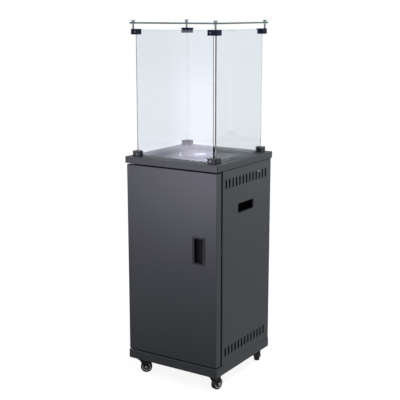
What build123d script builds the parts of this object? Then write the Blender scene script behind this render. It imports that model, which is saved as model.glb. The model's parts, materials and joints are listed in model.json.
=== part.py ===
from build123d import *
import math
import os

# A gas patio heater: a square steel cabinet on four swivel casters, with a burner in a
# sunken tray in its lid and a glass enclosure around the flames.
# Millimetres. +Z is up, the door faces -Y, +X is the right-hand side seen from the front.
# The origin is on the floor, under the middle of the cabinet.

# Overall sizes
lid_width = 450.0
lid_overhang = 4.5
lid_skirt = 27.0
plinth_height = 38.0
plinth_proud = 2.0
cabinet_height = 843.0
pane_height = 512.0
flue_gap = 24.0

# Sheet thicknesses and bends
panel_sheet = 1.2
plinth_sheet = 1.5
floor_sheet = 1.5
lid_sheet = 2.0
tray_sheet = 1.5
bend_radius = 2.0
plinth_flange = 18.0
panel_flange = 22.0
plinth_corner = 4.0
lid_corner = 3.0
lid_seam = 0.8
# How far a cutter runs past the face that it cuts through
cut_past = 1.0

# Door
door_depth = 34.0
door_lip = 15.0
door_side_gap = 1.0
door_top_gap = 6.0
door_bottom_gap = 5.0
jamb_gap = 10.0
stiffener_width = 36.0
stiffener_depth = 14.0
stiffener_flange = 12.0
stiffener_end_gap = 28.0

# Flush pull in the door
pull_width = 62.0
pull_height = 115.0
pull_from_edge = 54.0
pull_above_door_bottom = 484.0
pull_proud = 2.0
pull_wall = 3.0
pull_depth = 19.0
pull_corner = 3.0
pull_border_side = 10.5
pull_border_end = 7.0
pull_undercut = 5.0
pull_fit = 0.2

# Vent slots and handhold in the side panels
slot_count = 13
slot_width = 11.5
slot_length = 40.0
slot_row_front_margin = 25.5
slot_row_rear_margin = 47.5
upper_slot_below_top = 83.0
lower_slot_above_bottom = 54.5
grip_width = 127.0
grip_height = 40.0
grip_corner = 4.0
grip_collar = 8.0
grip_below_top = 198.0
grip_from_jamb = 183.5

# Front rail and lid brackets
rail_height = 30.0
rail_clearance = 1.0
bracket_width = 24.0
bracket_height = 72.0
bracket_foot = 30.0
slot_count_before_bracket = 10

# Cabinet floor and bottle stand
floor_clearance = 0.3
floor_slot_count = 5
floor_slot_length = 150.0
floor_slot_width = 8.0
floor_slot_pitch = 30.0
stand_width = 330.0
stand_height = 12.0
stand_behind_middle = 18.0

# Burner tray in the lid
tray_margin = 12.0
tray_opening_corner = 6.0
tray_opening_lip = 10.0
tray_recess = 12.0
tray_clearance = 1.0
tray_flange = 15.0

# Burner
ring_radius = 64.0
ring_wall = 2.0
ring_height = 8.0
ring_foot = 12.0
port_count = 24
port_radius = 2.0
top_port_count = 18
top_row_count = 3
cap_radius = 27.0
cap_rim = 1.6
cap_rise = 5.0
cap_stem = 4.0
bowl_inset = 14.0
bowl_depth = 26.0
bowl_wall = 1.5
bowl_flange = 9.0
bowl_corner = 8.0
boss_radius = 12.0
boss_height = 10.0
injector_hex_radius = 9.0
injector_stem_radius = 5.0
injector_height = 14.0
injector_bore = 1.0

# Pilot group, at the left of the burner
pilot_from_ring = 26.0
pilot_spacing = 14.0
pilot_tube_radius = 4.0
pilot_hood_radius = 6.0
pilot_hood_top = 2.0
pilot_slot_width = 3.0
pilot_slot_above_tray = 3.0
pilot_height = 8.0
pilot_stem = 26.0
probe_radius = 2.0
probe_height = 14.0
probe_collar_length = 8.0
probe_collar_wall = 1.5
insulator_radius = 3.2
insulator_above_tray = 5.0
electrode_radius = 0.9
electrode_reach = 5.0
pilot_window_width = 20.0
pilot_window_length = 44.0
pilot_bracket_margin = 5.0

# Gas controls behind the door
panel_recess = 28.0
panel_width = 230.0
panel_height = 61.0
control_height = 30.0
control_spread = 45.0
valve_width = 60.0
valve_above = 20.0
valve_below = 34.0
valve_depth = 42.0
valve_boss_radius = 9.0
valve_boss_proud = 1.0
valve_corner = 6.0
valve_outlet_depth = 6.0
stem_radius = 4.0
stem_length = 31.0
running_clearance = 0.06
knob_radius = 20.0
knob_depth = 24.0
knob_standoff = 7.0
knob_travel = 5.0
knob_grip_width = 9.0
knob_grip_inset = 2.0
knob_edge = 1.5
knob_index_width = 1.6
knob_index_depth = 1.0
button_radius = 7.0
button_proud = 7.0
button_travel = 5.0
button_behind_face = 6.0
button_edge = 1.5
bore_end_gap = 1.0
igniter_radius = 10.0
igniter_length = 38.0
igniter_flange = 3.0
igniter_flange_thickness = 2.0
pipe_radius = 4.0
pipe_wall = 0.8
pipe_bend = 14.0
pilot_pipe_radius = 2.0
pilot_pipe_bend = 8.0
pilot_pipe_side = 16.0
pilot_pipe_above_outlet = 12.0
inlet_reach = 14.0
inlet_body_radius = 6.5
inlet_drop = 18.0
nozzle_radius = 4.0
nozzle_length = 22.0
nozzle_bore = 2.5

# Tilt switch and magnetic catch
switch_width = 40.0
switch_height = 30.0
switch_depth = 15.0
switch_above_floor = 110.0
switch_corner = 3.0
magnet_width = 14.0
magnet_height = 45.0
magnet_clearance = 0.2
magnet_from_side = 4.0
magnet_corner = 2.0

# Door hinges
pin_radius = 3.0
pin_length = 17.0
pin_from_side = 11.0
pin_from_front = 21.0
hinge_sheet = 2.0
hinge_clearance = 1.5
hinge_leg = 38.0
hinge_width = 26.0
hinge_inboard = 3.0
hinge_before_pin = 8.0
bush_wall = 2.0
bush_flange = 2.0
bush_length = 8.0
bush_end_gap = 0.1

# Glass enclosure
glass_thickness = 6.0
glass_slot_clearance = 0.3
pane_inset = 33.0
pane_end_gap = 3.0
pane_chamfer = 0.8
top_glass_margin = 12.0
top_glass_corner = 4.0
clamp_outer_jaw = 12.0
clamp_leg = 40.0
clamp_height = 22.0
clamp_inner_jaw = 5.7
clamp_web = 3.0
clamp_corner = 8.0
clamp_screw_radius = 3.0
clamp_screw_head = 3.8
clamp_screw_head_height = 1.4
clamp_screw_from_corner = 26.0
clamp_screw_glass_gap = 0.1
post_radius = 4.0
post_outside_pane = 3.0
post_sink = 12.0
stud_radius = 3.0
stud_clearance = 0.6
washer_radius = 8.0
washer_thickness = 1.0
post_cap_radius = 10.0
post_cap_foot = 4.6
post_cap_height = 7.5
post_cap_rim = 1.6
post_cap_edge = 1.5
stud_below_cap_top = 2.0

# Casters
crown_gap = 7.0
caster_inset = 39.0
wheel_radius = 25.0
wheel_width = 22.0
tyre_thickness = 7.0
tyre_shoulder = 3.0
hub_radius = 9.0
disc_width = 14.0
rim_edge_width = 3.0
rim_edge_recess = 1.0
hub_taper = 1.0
axle_radius = 4.0
axle_head_radius = 6.0
axle_head_height = 2.5
hub_side_clearance = 0.3
caster_trail = 20.0
caster_plate_width = 58.0
caster_plate_thickness = 2.5
caster_plate_corner = 6.0
caster_bolt_pitch = 42.0
caster_bolt_radius = 3.3
bearing_radius = 18.0
bearing_height = 9.3
bearing_edge = 2.0
swivel_gap = 0.2
crown_thickness = 3.0
crown_radius = 17.0
cheek_thickness = 2.5
cheek_gap = 1.5
cheek_foot = 9.0
cheek_end_margin = 2.0
crown_end_gap = 1.0
kingpin_radius = 4.0
kingpin_head_radius = 7.0
kingpin_head_height = 2.0
# Directions in which the four wheels trail, degrees from +X, as the heater stands
trail_angles = {
    "front_left": 33.0,
    "front_right": 76.0,
    "rear_right": 112.0,
    "rear_left": 60.0,
}

# Foot brake of the rear casters, pressed down at rest
pedal_pivot_past_axle = 3.0
pedal_wheel_gap = 1.1
pedal_barrel = 3.5
pedal_pin = 2.0
pedal_thickness = 3.0
pedal_slope = 26.0
pedal_length = 30.0
pedal_pad_length = 14.0
pedal_pad_width = 32.0
brake_shoe_length = 8.0
brake_shoe_gap = 0.4

# Places worked out from the sizes above
caster_stack = caster_plate_thickness + bearing_height + swivel_gap + crown_thickness
caster_height = 2 * wheel_radius + crown_gap + caster_stack
body_half = lid_width / 2 - lid_overhang
plinth_half = body_half + plinth_proud
plinth_top = caster_height + plinth_height
lid_under = plinth_top + cabinet_height
lid_top = lid_under + lid_sheet
skirt_bottom = lid_top - lid_skirt
door_front = -body_half
door_back = door_front + door_depth
jamb_face = door_back + jamb_gap
door_bottom = plinth_top + door_bottom_gap
door_top = skirt_bottom - door_top_gap
door_half = body_half - door_side_gap
rear_wall = body_half - panel_sheet
floor_bottom = plinth_top + panel_sheet
floor_top = floor_bottom + floor_sheet
pane_face = lid_width / 2 - pane_inset
clamp_outer = pane_face + clamp_outer_jaw
post_from_middle = pane_face + post_outside_pane
top_glass_width = 2 * (post_from_middle + top_glass_margin)
tray_opening = 2 * (clamp_outer - clamp_leg - tray_margin)
tray_floor = lid_top - tray_recess
tray_half = tray_opening / 2 + lid_sheet + tray_clearance
tray_bottom = tray_floor - tray_sheet
rail_bottom = lid_under - rail_height
rail_back = -(tray_half + tray_sheet + rail_clearance)
head_top = tray_floor + ring_height
bowl_radius = ring_radius - bowl_inset
pilot_x = -(ring_radius + pilot_from_ring)
first_slot = jamb_face + slot_row_front_margin
last_slot = body_half - slot_row_rear_margin
slot_pitch = (last_slot - first_slot) / (slot_count - 1)
panel_face = jamb_face + panel_recess
control_z = rail_bottom - control_height
knob_x = -control_spread
button_x = control_spread
stem_front = panel_face - knob_standoff - knob_depth / 2
stem_back = stem_front + stem_length
valve_back = panel_face + panel_sheet + valve_depth
outlet_z = control_z - valve_below + 2 * pipe_radius
injector_z = tray_bottom - bowl_depth - boss_height - injector_height
probe_bottom = tray_bottom - pilot_stem
pane_bottom = lid_top + clamp_web
pane_top = pane_bottom + pane_height
pane_inner_face = pane_face - glass_thickness
pane_half = pane_inner_face - pane_end_gap
upper_clamp_top = pane_top + clamp_web
top_glass_bottom = pane_top + flue_gap
top_glass_top = top_glass_bottom + glass_thickness
pull_x = door_half - pull_from_edge - pull_width / 2
pull_z = door_bottom + pull_above_door_bottom
caster_place = plinth_half - caster_inset
crown_top = caster_height - caster_plate_thickness - bearing_height - swivel_gap
crown_bottom = crown_top - crown_thickness
cheek_inner = wheel_width / 2 + cheek_gap
pedal_x = caster_trail + pedal_pivot_past_axle
pedal_z = 2 * wheel_radius + pedal_wheel_gap + pedal_barrel
pin_x = -door_half + pin_from_side
pin_y = door_front + pin_from_front


def block(x0, x1, y0, y1, z0, z1):
    """A block between two opposite corners."""
    size = Box(x1 - x0, y1 - y0, z1 - z0)
    return Pos((x0 + x1) / 2, (y0 + y1) / 2, (z0 + z1) / 2) * size


def rod(start, end, radius):
    """A round bar from one point to another."""
    axis = Vector(*end) - Vector(*start)
    plane = Plane(origin=start, z_dir=axis)
    return extrude(plane * Circle(radius), axis.length)


def group(pieces):
    """Several pieces of one kind as separate solids."""
    return Compound([solid for piece in pieces for solid in piece.solids()])


def upright_edges(part):
    """Edges that run along Z."""
    return part.edges().filter_by(Axis.Z)


def slots_along_y(first, count, pitch, width, length, z, x0, x1):
    """Upright round-ended slots in a row along Y, cut from x0 to x1."""
    plane = Plane(origin=(x0, 0, z), x_dir=(0, 1, 0), z_dir=(1, 0, 0))
    cutters = []
    for index in range(count):
        place = Pos(first + index * pitch, 0) * Rot(0, 0, 90)
        cutters.append(extrude(plane * (place * SlotOverall(length, width)), x1 - x0))
    return cutters


def make_plinth():
    """Folded base tray: floor below, walls up and a flange turned in at the top."""
    outer = Pos(0, 0, caster_height) * extrude(
        RectangleRounded(2 * plinth_half, 2 * plinth_half, plinth_corner), plinth_height)
    outer = fillet(outer.faces().sort_by(Axis.Z)[0].edges(), bend_radius)
    outer = fillet(outer.faces().sort_by(Axis.Z)[-1].edges(), plinth_sheet - panel_sheet / 2)
    inside = plinth_half - plinth_sheet
    hollow = block(-inside, inside, -inside, inside,
                   caster_height + plinth_sheet, plinth_top - plinth_sheet)
    mouth = plinth_half - plinth_flange
    opening = block(-mouth, mouth, -mouth, mouth, plinth_top - plinth_sheet, plinth_top + cut_past)
    plinth = outer - hollow - opening
    holes = []
    for x, y in caster_corners().values():
        for bolt in GridLocations(caster_bolt_pitch, caster_bolt_pitch, 2, 2):
            centre = Pos(x, y, caster_height) * bolt
            holes.append(centre * Cylinder(caster_bolt_radius, 4 * plinth_sheet))
    holes += floor_slots(caster_height - cut_past, caster_height + plinth_sheet + cut_past)
    return plinth - holes


def floor_slots(z0, z1):
    """Cutters for the gas escape slots, the same in the plinth, floor and stand."""
    cutters = []
    for index in range(floor_slot_count):
        y = stand_behind_middle + (index - (floor_slot_count - 1) / 2) * floor_slot_pitch
        slot = Pos(0, y, z0) * extrude(SlotOverall(floor_slot_length, floor_slot_width), z1 - z0)
        cutters.append(slot)
    return cutters


def make_cabinet_floor():
    """Floor sheet that lies on the side panels' bottom flanges."""
    half = body_half - panel_sheet - floor_clearance
    front = jamb_face + panel_sheet + floor_clearance
    back = rear_wall - panel_sheet - floor_clearance
    floor = block(-half, half, front, back, floor_bottom, floor_top)
    return floor - floor_slots(floor_bottom - cut_past, floor_top + cut_past)


def make_bottle_stand():
    """Low folded platform on the floor that the gas bottle stands on."""
    half = stand_width / 2
    y = stand_behind_middle
    top = floor_top + stand_height
    outer = block(-half, half, y - half, y + half, floor_top, top)
    outer = fillet(upright_edges(outer), 2 * bend_radius)
    inside = half - floor_sheet
    hollow = block(-inside, inside, y - inside, y + inside,
                   floor_top - cut_past, top - floor_sheet)
    return outer - hollow - floor_slots(top - floor_sheet - cut_past, top + cut_past)


def make_side_panel(side):
    """Folded side wall with a flange on every edge, two rows of vents and a handhold."""
    inner = body_half - panel_flange
    panel = block(inner, body_half, jamb_face, rear_wall, plinth_top, lid_under)
    outside = [edge for edge in upright_edges(panel) if edge.center().X > inner + panel_sheet]
    panel = fillet(outside, bend_radius)
    panel -= block(inner - cut_past, body_half - panel_sheet,
                   jamb_face + panel_sheet, rear_wall - panel_sheet,
                   plinth_top + panel_sheet, lid_under - panel_sheet)
    x0 = body_half - panel_sheet - cut_past
    x1 = body_half + cut_past
    cutters = []
    for z in (lid_under - upper_slot_below_top, plinth_top + lower_slot_above_bottom):
        cutters += slots_along_y(first_slot, slot_count, slot_pitch, slot_width, slot_length, z, x0, x1)
    grip_plane = Plane(origin=(body_half - grip_collar, jamb_face + grip_from_jamb,
                               lid_under - grip_below_top),
                       x_dir=(0, 1, 0), z_dir=(1, 0, 0))
    collar = extrude(grip_plane * RectangleRounded(grip_width + 2 * panel_sheet,
                                                   grip_height + 2 * panel_sheet,
                                                   grip_corner + panel_sheet),
                     grip_collar - panel_sheet / 2)
    hole = extrude(grip_plane * RectangleRounded(grip_width, grip_height, grip_corner),
                   grip_collar + cut_past, both=True)
    panel = panel + collar - [hole] - cutters
    if side == "left":
        panel = mirror(panel, Plane.YZ)
    return panel


def make_rear_panel():
    """Flat rear sheet screwed over the side panels' rear flanges."""
    half = body_half - panel_sheet / 2
    return block(-half, half, rear_wall, body_half, plinth_top, lid_under)


def make_front_rail():
    """Channel between the door jambs, under the front of the tray's flange."""
    half = body_half - panel_flange
    top = lid_under - tray_sheet
    rail = block(-half, half, jamb_face, rail_back, rail_bottom, top)
    return rail - block(-half - cut_past, half + cut_past, jamb_face + panel_sheet, rail_back + cut_past,
                        rail_bottom + panel_sheet, top - panel_sheet)


def make_lid_brackets():
    """Two plated angles that tie the lid to the side panels, each behind one vent slot."""
    wall = body_half - panel_sheet
    top = lid_under - panel_sheet
    middle = first_slot + slot_count_before_bracket * slot_pitch
    y0 = middle - bracket_width / 2
    y1 = middle + bracket_width / 2
    angle = block(wall - bracket_foot, wall, y0, y1, top - bracket_height, top)
    angle -= block(wall - bracket_foot - cut_past, wall - lid_sheet, y0 - cut_past, y1 + cut_past,
                   top - bracket_height - cut_past, top - lid_sheet)
    return group([angle, mirror(angle, Plane.YZ)])


def make_lid():
    """Folded top plate: a skirt with open corner seams, and a square opening with a lip."""
    half = lid_width / 2
    outer = Pos(0, 0, skirt_bottom) * extrude(
        RectangleRounded(lid_width, lid_width, lid_corner), lid_skirt)
    outer = fillet(outer.faces().sort_by(Axis.Z)[-1].edges(), bend_radius)
    inside = half - lid_sheet
    under = block(-inside, inside, -inside, inside, skirt_bottom - cut_past, lid_under)
    lip = Pos(0, 0, lid_top - tray_opening_lip) * extrude(
        RectangleRounded(tray_opening + 2 * lid_sheet, tray_opening + 2 * lid_sheet,
                         tray_opening_corner + lid_sheet), tray_opening_lip - lid_sheet)
    hole = Pos(0, 0, skirt_bottom) * extrude(
        RectangleRounded(tray_opening, tray_opening, tray_opening_corner), lid_skirt + cut_past)
    seams = []
    for sx, sy in corner_signs():
        seams.append(Pos(sx * half, sy * half, skirt_bottom) * Rot(0, 0, 45 * sx * sy) * Box(
            4 * lid_corner, lid_seam, 2 * (lid_skirt - lid_sheet)))
    return outer - under + lip - [hole] - seams


def make_burner_tray():
    """Sunken tray hung under the lid's opening, with holes for the burner and pilot."""
    flange = tray_half + tray_flange
    tub = tray_half + tray_sheet
    tray = block(-flange, flange, -flange, flange, lid_under - tray_sheet, lid_under)
    tray += block(-tub, tub, -tub, tub, tray_bottom, lid_under)
    tray -= block(-tray_half, tray_half, -tray_half, tray_half, tray_floor, lid_under + cut_past)
    neck = Pos(0, 0, tray_bottom) * Cylinder(bowl_radius - bowl_wall, 4 * tray_sheet)
    window = block(pilot_x - pilot_window_width / 2,
                   pilot_x + pilot_window_width / 2,
                   -pilot_window_length / 2, pilot_window_length / 2,
                   tray_bottom - cut_past, tray_floor + cut_past)
    return tray - neck - window


def make_burner_bowl():
    """Mixing bowl under the tray, spun from sheet, with a boss for the injector."""
    top = tray_bottom
    bottom = top - bowl_depth
    profile = Polyline(
        (0, bottom), (0, bottom - boss_height), (boss_radius, bottom - boss_height),
        (boss_radius, bottom), (bowl_radius - bowl_corner, bottom))
    profile += RadiusArc((bowl_radius - bowl_corner, bottom),
                         (bowl_radius, bottom + bowl_corner), -bowl_corner)
    profile += Polyline(
        (bowl_radius, bottom + bowl_corner), (bowl_radius, top - bowl_wall),
        (bowl_radius + bowl_flange, top - bowl_wall), (bowl_radius + bowl_flange, top),
        (bowl_radius - bowl_wall, top), (bowl_radius - bowl_wall, bottom + bowl_corner))
    inner_corner = bowl_corner - bowl_wall
    profile += RadiusArc((bowl_radius - bowl_wall, bottom + bowl_corner),
                         (bowl_radius - bowl_corner, bottom + bowl_wall), inner_corner)
    profile += Polyline((bowl_radius - bowl_corner, bottom + bowl_wall),
                        (0, bottom + bowl_wall), (0, bottom))
    bowl = revolve(Plane.XZ * make_face(profile), Axis.Z)
    bore = Pos(0, 0, bottom) * Cylinder(injector_stem_radius, 4 * boss_height)
    return bowl - bore


def make_burner_ring():
    """Burner head: flame ports round its wall and in its top, and a foot on the tray."""
    outer = Pos(0, 0, tray_floor) * extrude(Circle(ring_radius), ring_height)
    inner_height = ring_height - bowl_wall - ring_wall
    hollow = Pos(0, 0, tray_floor + bowl_wall) * extrude(
        Circle(ring_radius - ring_wall), inner_height)
    mouth = Pos(0, 0, tray_floor - cut_past) * extrude(
        Circle(ring_radius - ring_foot), ring_height - ring_wall)
    ring = outer - hollow - mouth
    ring -= Pos(0, 0, head_top) * Cylinder(cap_stem, 4 * ring_wall)
    port_z = tray_floor + bowl_wall + inner_height / 2
    ports = []
    for index in range(port_count):
        turn = Rot(0, 0, 360 / port_count * index)
        port = rod((ring_radius - 2 * ring_wall, 0, port_z),
                   (ring_radius + cut_past, 0, port_z), port_radius)
        ports.append(turn * port)
    row_pitch = (ring_radius - cap_radius) / (top_row_count + 1)
    for row in range(top_row_count):
        row_radius = cap_radius + (row + 1) * row_pitch
        for index in range(top_port_count):
            turn = Rot(0, 0, 360 / top_port_count * (index + row / 2))
            ports.append(turn * Pos(row_radius, 0, head_top) * Cylinder(
                port_radius, 4 * ring_wall))
    return ring - ports


def make_burner_cap():
    """Polished cap in the middle of the burner head: a low dome with a rim and a stem."""
    dome_radius = (cap_radius ** 2 + cap_rise ** 2) / (2 * cap_rise)
    top = head_top + cap_rim + cap_rise
    disc = Pos(0, 0, head_top) * extrude(Circle(cap_radius), cap_rim + cap_rise)
    dome = disc & Pos(0, 0, top - dome_radius) * Sphere(dome_radius)
    stem = Pos(0, 0, head_top - ring_wall) * extrude(Circle(cap_stem), ring_wall)
    return dome + stem


def make_burner_injector():
    """Hexagonal brass injector screwed up into the bowl's boss."""
    z = injector_z
    head = Pos(0, 0, z) * extrude(RegularPolygon(injector_hex_radius, 6), injector_height)
    stem = Pos(0, 0, z + injector_height) * extrude(Circle(injector_stem_radius), boss_height)
    bore = Pos(0, 0, z - cut_past) * extrude(
        Circle(injector_bore), injector_height + boss_height + 2 * cut_past)
    return head + stem - bore


def make_supply_pipe():
    """Bent tube from the valve's outlet to the injector."""
    z = outlet_z
    path = FilletPolyline(
        (knob_x, valve_back, z), (knob_x, 0, z), (0, 0, z), (0, 0, injector_z),
        radius=pipe_bend)
    start = Plane(origin=path @ 0, z_dir=path % 0)
    outer = sweep(start * Circle(pipe_radius), path=path)
    inner = sweep(start * Circle(pipe_radius - pipe_wall), path=path)
    return outer - inner


def make_pilot_pipe():
    """Thin tube from the valve to the pilot's stem."""
    x = knob_x - pilot_pipe_side
    z = outlet_z + pilot_pipe_above_outlet
    path = FilletPolyline((x, valve_back, z), (x, 0, z), (pilot_x, 0, z),
                          (pilot_x, 0, probe_bottom), radius=pilot_pipe_bend)
    start = Plane(origin=path @ 0, z_dir=path % 0)
    return sweep(start * Circle(pilot_pipe_radius), path=path)


def make_pilot_burner():
    """Pilot bracket under the tray, with the pilot's tube and slotted hood."""
    x = pilot_x
    half_width = pilot_window_width / 2 + pilot_bracket_margin
    half_length = pilot_window_length / 2 + pilot_bracket_margin
    bracket = block(x - half_width, x + half_width, -half_length, half_length,
                    tray_bottom - tray_sheet, tray_bottom)
    tube = Pos(x, 0, probe_bottom) * extrude(
        Circle(pilot_tube_radius), pilot_stem + tray_recess / 2)
    hood_bottom = tray_floor
    hood = Pos(x, 0, hood_bottom) * extrude(
        Circle(pilot_hood_radius), pilot_height + pilot_hood_top)
    half_slot = pilot_slot_width / 2
    mouth = block(x, x + 2 * pilot_hood_radius, -half_slot, half_slot,
                  hood_bottom + pilot_slot_above_tray, hood_bottom + pilot_height)
    probes = []
    for y, radius in ((pilot_spacing, probe_radius), (-pilot_spacing, insulator_radius)):
        probes.append(Pos(x, y, tray_bottom) * Cylinder(radius, 4 * tray_sheet))
    return bracket + tube + hood - [mouth] - probes


def make_thermocouple():
    """Flame sensor rod with its collar under the pilot bracket."""
    x, y = pilot_x, pilot_spacing
    sensor = rod((x, y, probe_bottom), (x, y, tray_floor + probe_height), probe_radius)
    collar_top = tray_bottom - tray_sheet
    collar = rod((x, y, collar_top - probe_collar_length), (x, y, collar_top),
                 probe_radius + probe_collar_wall)
    return sensor + collar


def make_spark_electrode():
    """Ceramic insulator with a wire tip bent towards the pilot's hood."""
    x, y = pilot_x, -pilot_spacing
    top = tray_floor + insulator_above_tray
    insulator = rod((x, y, probe_bottom), (x, y, top), insulator_radius)
    tip_z = top + probe_height / 2
    wire = rod((x, y, top - electrode_radius), (x, y, tip_z), electrode_radius)
    tip = rod((x, y, tip_z - electrode_radius), (x, y + electrode_reach, tip_z - electrode_radius),
              electrode_radius)
    return insulator + wire + tip


def make_control_panel():
    """Recessed plate behind the door that carries the gas valve and the igniter."""
    half = panel_width / 2
    plate = block(-half, half, panel_face, panel_face + panel_sheet,
                  rail_bottom - panel_height, rail_bottom)
    shelf = block(-half, half, jamb_face + panel_sheet, panel_face + panel_sheet,
                  rail_bottom - panel_sheet, rail_bottom)
    knob_hole = rod((knob_x, panel_face - cut_past, control_z),
                    (knob_x, panel_face + 2 * panel_sheet, control_z), valve_boss_radius)
    button_hole = rod((button_x, panel_face - cut_past, control_z),
                      (button_x, panel_face + 2 * panel_sheet, control_z), igniter_radius)
    return plate + shelf - knob_hole - button_hole


def make_gas_valve():
    """Gas valve body with a boss through the panel and a bore for the stem."""
    front = panel_face + panel_sheet
    body = block(knob_x - valve_width / 2, knob_x + valve_width / 2, front, valve_back,
                 control_z - valve_below, control_z + valve_above)
    body = fillet(body.edges().filter_by(Axis.Y), valve_corner)
    boss = rod((knob_x, panel_face - valve_boss_proud, control_z), (knob_x, front, control_z),
               valve_boss_radius)
    bore_end = stem_back + knob_travel + bore_end_gap
    bore = rod((knob_x, panel_face - valve_boss_proud - cut_past, control_z),
               (knob_x, bore_end, control_z),
               stem_radius + running_clearance)
    outlet = rod((knob_x, valve_back - valve_outlet_depth, outlet_z),
                 (knob_x, valve_back + cut_past, outlet_z), pipe_radius - pipe_wall)
    return body + boss - bore - outlet


def make_gas_inlet():
    """Elbow on the valve's side with a plain nozzle for the gas hose, pointing down."""
    side = knob_x - valve_width / 2
    x = side - inlet_reach
    y = panel_face + panel_sheet + valve_depth / 2
    z = control_z
    stub = rod((side, y, z), (x, y, z), inlet_body_radius)
    elbow = Pos(x, y, z) * Sphere(inlet_body_radius)
    drop = rod((x, y, z), (x, y, z - inlet_drop), inlet_body_radius)
    nozzle = rod((x, y, z - inlet_drop), (x, y, z - inlet_drop - nozzle_length), nozzle_radius)
    bore = rod((x, y, z), (x, y, z - inlet_drop - nozzle_length - cut_past), nozzle_bore)
    return stub + elbow + drop + nozzle - bore


def make_valve_stem():
    """Stem that the knob turns on; it slides into the valve when the knob is pressed."""
    return rod((knob_x, stem_front, control_z), (knob_x, stem_back, control_z), stem_radius)


def make_control_knob():
    """Round knob with a bar grip across its face and an index line."""
    back = panel_face - knob_standoff
    skirt_depth = knob_depth / 3
    skirt = rod((knob_x, back, control_z), (knob_x, back - skirt_depth, control_z), knob_radius)
    skirt = chamfer(skirt.faces().sort_by(Axis.Y)[0].edges(), knob_edge)
    bar = block(knob_x - knob_grip_width / 2, knob_x + knob_grip_width / 2,
                back - knob_depth, back - skirt_depth,
                control_z - knob_radius + knob_grip_inset, control_z + knob_radius - knob_grip_inset)
    bar = fillet(bar.edges().filter_by(Axis.Y), knob_grip_width / 3)
    half_index = knob_index_width / 2
    index = block(knob_x - half_index, knob_x + half_index,
                  back - knob_depth - cut_past, back - knob_depth + knob_index_depth,
                  control_z, control_z + knob_radius)
    bore = rod((knob_x, back + cut_past, control_z), (knob_x, stem_front, control_z),
               stem_radius + running_clearance)
    return skirt + bar - index - bore


def make_igniter_body():
    """Igniter barrel through the panel, with a flange in front and a bore for the button."""
    flange = rod((button_x, panel_face - igniter_flange_thickness, control_z),
                 (button_x, panel_face, control_z), igniter_radius + igniter_flange)
    barrel = rod((button_x, panel_face, control_z),
                 (button_x, panel_face + igniter_length, control_z), igniter_radius)
    bore_end = panel_face + button_behind_face + button_travel + bore_end_gap
    bore = rod((button_x, panel_face - igniter_flange_thickness - cut_past, control_z),
               (button_x, bore_end, control_z), button_radius + running_clearance)
    return flange + barrel - bore


def make_igniter_button():
    """Round push button with a slightly rounded edge."""
    front = panel_face - igniter_flange_thickness - button_proud
    back = panel_face + button_behind_face
    button = rod((button_x, front, control_z), (button_x, back, control_z), button_radius)
    return fillet(button.faces().sort_by(Axis.Y)[0].edges(), button_edge)


def make_tilt_switch():
    """Sealed box on the left wall that shuts the gas off if the heater tips."""
    wall = -(body_half - panel_sheet)
    bottom = floor_top + switch_above_floor
    box = block(wall, wall + switch_depth, -switch_width / 2, switch_width / 2,
                bottom, bottom + switch_height)
    return fillet(box.edges().filter_by(Axis.X), switch_corner)


def make_magnetic_catch():
    """Magnet block on the right jamb that holds the closed door's lip."""
    x1 = body_half - magnet_from_side
    x0 = x1 - magnet_width
    z0 = pull_z - magnet_height / 2
    front = door_back + magnet_clearance
    housing = block(x0, x1, front, jamb_face, z0, z0 + magnet_height)
    return fillet(housing.edges().filter_by(Axis.Y), magnet_corner)


def hinge_levels():
    """For the top and bottom hinge: bracket plate's door side, its far side, pin direction."""
    top_near = door_top + hinge_clearance
    bottom_near = door_bottom - hinge_clearance
    return ((top_near, top_near + hinge_sheet, -1), (bottom_near, bottom_near - hinge_sheet, 1))


def make_hinge_brackets():
    """Angles on the left jamb that hold the hinge pins above and below the door."""
    x0 = pin_x - hinge_width / 2 + hinge_inboard
    x1 = x0 + hinge_width
    front = pin_y - hinge_before_pin
    brackets = []
    for near, far, direction in hinge_levels():
        low, high = min(near, far), max(near, far)
        plate = block(x0, x1, front, jamb_face, low, high)
        leg_end = far + direction * hinge_leg
        leg = block(x0, x1, jamb_face - hinge_sheet, jamb_face, min(far, leg_end),
                    max(far, leg_end))
        hole = Pos(pin_x, pin_y, (low + high) / 2) * Cylinder(pin_radius, 2 * hinge_sheet)
        brackets.append(plate + leg - hole)
    return group(brackets)


def make_hinge_pins():
    """Two steel pins set in the brackets, one down into the door's top, one up."""
    pins = []
    for near, far, direction in hinge_levels():
        end = far + direction * pin_length
        pin = rod((pin_x, pin_y, far), (pin_x, pin_y, end), pin_radius)
        pins.append(pin)
    return group(pins)


def make_hinge_bushes():
    """Flanged nylon bushes in the door's top and bottom returns."""
    bushes = []
    flange_thickness = hinge_clearance - bush_end_gap
    for edge, direction in ((door_top, -1), (door_bottom, 1)):
        outer_end = edge - direction * flange_thickness
        inner_end = edge + direction * bush_length
        sleeve = rod((pin_x, pin_y, edge), (pin_x, pin_y, inner_end), pin_radius + bush_wall)
        flange = rod((pin_x, pin_y, outer_end), (pin_x, pin_y, edge),
                     pin_radius + bush_wall + bush_flange)
        bore = rod((pin_x, pin_y, outer_end - direction * cut_past),
                   (pin_x, pin_y, inner_end + direction * cut_past),
                   pin_radius + running_clearance)
        bushes.append(sleeve + flange - bore)
    return group(bushes)


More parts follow.
